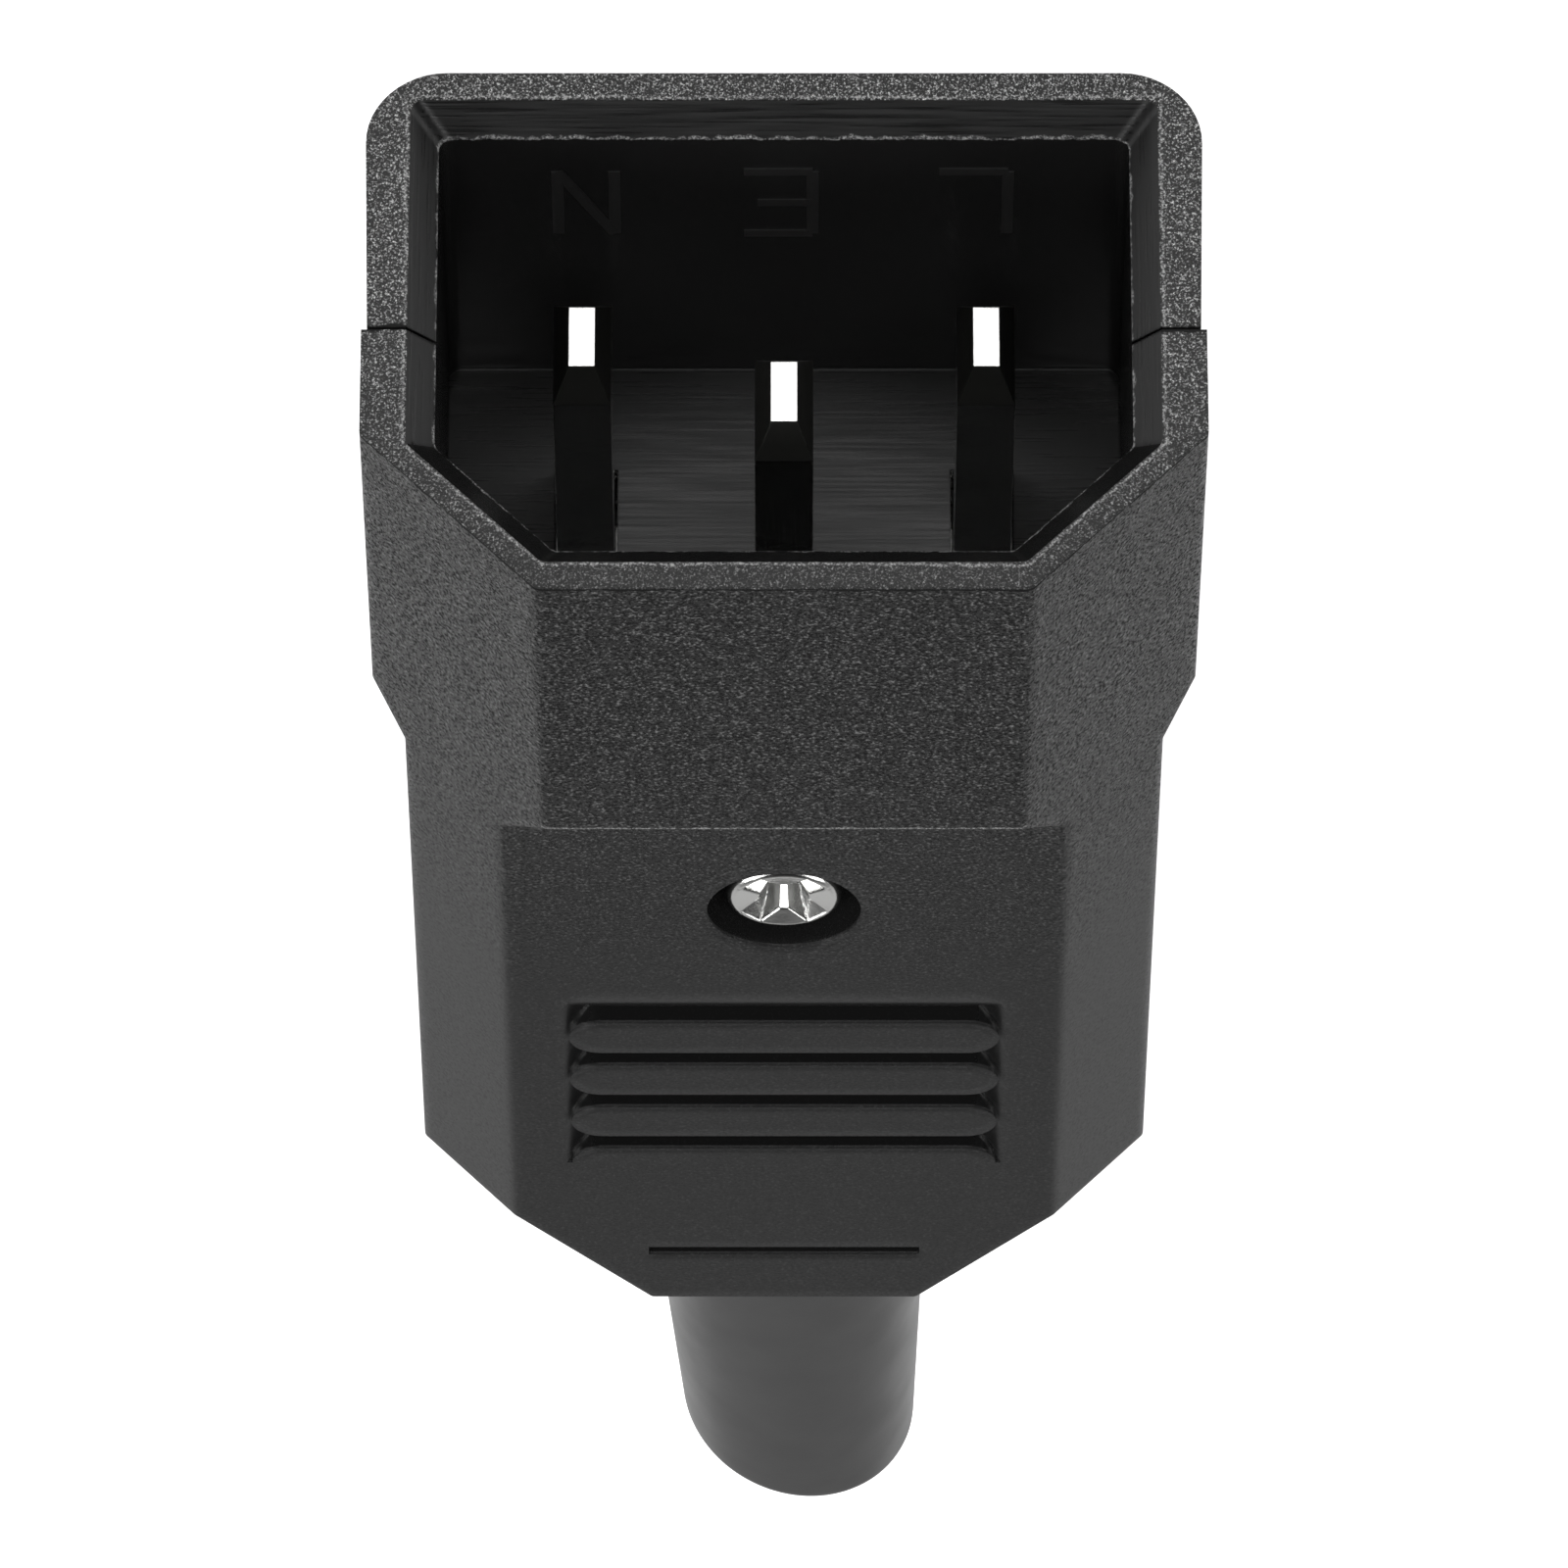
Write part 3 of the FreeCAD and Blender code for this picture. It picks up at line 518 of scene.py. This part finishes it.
# Cover screw: steel pan-head screw with a cross recess, nickel plated, sunk in the panel's hole.
# Its crown is dished inside a rounded rim, and its cross stands at 45 degrees to the plug.
SCREW_PLACE = 25.75 * MM
SCREW_SEAT_Z = 16.93 * MM
SCREW_EDGE_Z = 18.3 * MM
SCREW_CENTRE_Z = 18.29 * MM
SCREW_DISH = 0.37 * MM
SCREW_END_Z = 4.95 * MM
SCREW_HEAD_R = 2.05 * MM
SCREW_CROWN_R = 1.75 * MM
SCREW_SHANK_R = 1.45 * MM
SCREW_AXIS_R = 0.004 * MM
SCREW_SIDES = 256
CROWN_RINGS = 64
CROWN_START = 0.004
RECESS_DEPTH = 1.1 * MM
SLOT_HALF_WIDTH = 0.52 * MM
SLOT_SIDE = 0.45 * MM
SLOT_REACH = 1.7 * MM
SLOT_RUN = 0.95 * MM
CONE_R = 0.9 * MM
CONE_RUN = 0.7 * MM


def cross_slot(along, aside):
    """Share of the recess's depth in one slot: the lesser of the slope of its sides and that of its ends."""
    return np.minimum((SLOT_HALF_WIDTH - aside) / SLOT_SIDE, (SLOT_REACH - along) / SLOT_RUN)


def screw_surface():
    """Rings from the crown's centre out, over the rounded rim, down the side, under the head and down the
    shank. The crown rises evenly from its centre to the rim, and sinks in the recess by the largest of two
    crossed slots and a centre cone."""
    angle = np.linspace(0, 2 * math.pi, SCREW_SIDES, endpoint=False)
    crown = np.linspace(CROWN_START, 1, CROWN_RINGS)
    round_off = np.linspace(0, math.pi / 2, 8)[1:]
    rim_z = SCREW_CENTRE_Z + SCREW_DISH
    r = np.concatenate([SCREW_CROWN_R * crown,
                        SCREW_CROWN_R + (SCREW_HEAD_R - SCREW_CROWN_R) * np.sin(round_off),
                        np.array([SCREW_HEAD_R, SCREW_SHANK_R, SCREW_SHANK_R, SCREW_AXIS_R])])
    z = np.concatenate([SCREW_CENTRE_Z + SCREW_DISH * crown,
                        SCREW_EDGE_Z + (rim_z - SCREW_EDGE_Z) * np.cos(round_off),
                        np.array([SCREW_SEAT_Z, SCREW_SEAT_Z, SCREW_END_Z, SCREW_END_Z])])
    r, z = r[:, None], z[:, None]
    x, y = r * np.cos(angle), r * np.sin(angle)
    one, two = abs(x + y) / math.sqrt(2), abs(x - y) / math.sqrt(2)
    share = np.maximum(cross_slot(one, two), cross_slot(two, one))
    share = np.clip(np.maximum(share, (CONE_R - r) / CONE_RUN), 0, 1)
    share[CROWN_RINGS:] = 0
    return np.stack([x, y + rim_y + SCREW_PLACE, z - RECESS_DEPTH * share], 2)


screw = new_piece("screw_head", turned_mesh("screw_head", screw_surface()), plated)
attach(screw, "root")
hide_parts("cover_screw")

# Floor: plain white paper under the plug. The camera and reflections see it brighter than the lamps alone
# make it, so that it is white, and it keeps the plug's shadow. In reflections it dims towards the tail.
FLOOR_R = 2.5
FLOOR_Z = -0.02 * MM
FLOOR_SIDES = 96
FLOOR_BRIGHT_Y = -60.0 * MM
FLOOR_DIM_Y = 100.0 * MM
PAPER_LIFT = 0.85
PAPER_DIM = 0.25
PAPER_WHITE = "#e6e6e6"


def white_paper():
    """Matt white paper: an even pale ground, lifted to white for what the camera and reflections see."""
    material, tree = empty_material("white_paper")
    path = add(tree, "LightPath", {}).node.outputs
    place = add(tree, "TexCoord", {}, out="Object")
    _, y, _ = add(tree, "SeparateXYZ", {0: place}).node.outputs
    mirrored = add(tree, "Math", {0: path["Is Glossy Ray"], 1: path["Is Transmission Ray"]},
                   operation="MAXIMUM")
    ahead = add(tree, "MapRange", {0: y, 1: FLOOR_BRIGHT_Y, 2: FLOOR_DIM_Y, 3: PAPER_LIFT, 4: PAPER_DIM})
    mirrored = add(tree, "Math", {0: mirrored, 1: ahead}, operation="MULTIPLY")
    glow = add(tree, "Math", {0: path["Is Camera Ray"], 1: PAPER_LIFT, 2: mirrored},
               operation="MULTIPLY_ADD")
    white = add(tree, "BsdfDiffuse", {"Color": linear(PAPER_WHITE)})
    lift = add(tree, "Emission", {"Color": (1, 1, 1, 1), "Strength": glow})
    surface = add(tree, "AddShader", {0: white, 1: lift})
    add(tree, "OutputMaterial", {"Surface": surface})
    return material


angle = np.linspace(0, 2 * math.pi, FLOOR_SIDES, endpoint=False)
ring = np.stack([FLOOR_R * np.cos(angle), FLOOR_R * np.sin(angle), np.full(FLOOR_SIDES, FLOOR_Z)], 1)
floor_mesh = bpy.data.meshes.new("floor")
floor_mesh.from_pydata(ring.tolist(), [], [list(range(FLOOR_SIDES))])
floor = new_piece("floor", floor_mesh, white_paper())

# Studio light: a soft box in front of the mouth and one high on each side, the right one stronger. A pale
# wall behind the plug is mirrored in its top faces, and it is dark overhead, so that bevels stay dark.
LAMP_AIM = (0.0, 0.0, 10.0 * MM)
LAMPS = {
    "front_box": ((0.0, -0.65, 0.42), (0.6, 0.25), 2.5),
    "left_box": ((-0.5, -0.05, 0.6), (0.4, 0.4), 1.5),
    "right_box": ((0.5, -0.05, 0.6), (0.4, 0.4), 3.0),
}
WALL_LIGHT = 0.445
ROOM_LIGHT = 0.025
OVERHEAD_LIGHT = 0.004
for name, (spot, size, watts) in LAMPS.items():
    lamp = bpy.data.lights.new(name, "AREA")
    lamp.shape = "RECTANGLE"
    lamp.size, lamp.size_y = size
    lamp.energy = watts
    fitting = bpy.data.objects.new(name, lamp)
    bpy.context.scene.collection.objects.link(fitting)
    away = Vector(spot) - Vector(LAMP_AIM)
    fitting.matrix_world = Matrix.Translation(spot) @ away.to_track_quat("Z", "Y").to_matrix().to_4x4()
world = bpy.data.worlds.new("studio")
bpy.context.scene.world = world
world.use_nodes = True
tree = world.node_tree
tree.nodes.clear()
way = add(tree, "TexCoord", {}, out="Generated")
_, behind, rise = add(tree, "SeparateXYZ", {0: way}).node.outputs
wall = add(tree, "MapRange", {0: behind, 1: 0.0, 2: 0.7}, interpolation_type="SMOOTHSTEP")
top = add(tree, "MapRange", {0: rise, 1: 0.5, 2: 0.85, 3: 1.0, 4: 0.15}, interpolation_type="SMOOTHSTEP")
wall = add(tree, "Math", {0: wall, 1: top}, operation="MULTIPLY")
room = add(tree, "MapRange", {0: rise, 1: 0.75, 2: 0.95, 3: ROOM_LIGHT, 4: OVERHEAD_LIGHT})
light = add(tree, "Math", {0: wall, 1: WALL_LIGHT, 2: room}, operation="MULTIPLY_ADD")
sky = add(tree, "Background", {"Color": (1, 1, 1, 1), "Strength": light})
add(tree, "OutputWorld", {"Surface": sky})
bpy.context.scene.view_settings.view_transform = "Standard"

# Camera: a long lens about 0.47 m away and 29 degrees above the plug's axis, so that it looks down into the
# mouth. It is upside down, which puts the mouth at the top of the picture.
CAMERA_RISE = math.radians(29.0)
CAMERA_DISTANCE = 467.4 * MM
CAMERA_SENSOR = 36.0
CAMERA_LENS = 308.45
AIM_DEPTH = 13.64 * MM
aim = Vector((0, rim_y + AIM_DEPTH, top_z))
back = Vector((0, -math.cos(CAMERA_RISE), math.sin(CAMERA_RISE)))
up = Vector((0, -math.sin(CAMERA_RISE), -math.cos(CAMERA_RISE)))
right = Vector((-1, 0, 0))
camera_data = bpy.data.cameras.new("camera")
camera_data.sensor_width = CAMERA_SENSOR
camera_data.lens = CAMERA_LENS
camera = bpy.data.objects.new("camera", camera_data)
bpy.context.scene.collection.objects.link(camera)
turn = Matrix((right, up, back)).transposed().to_4x4()
camera.matrix_world = Matrix.Translation(aim + back * CAMERA_DISTANCE) @ turn
bpy.context.scene.camera = camera
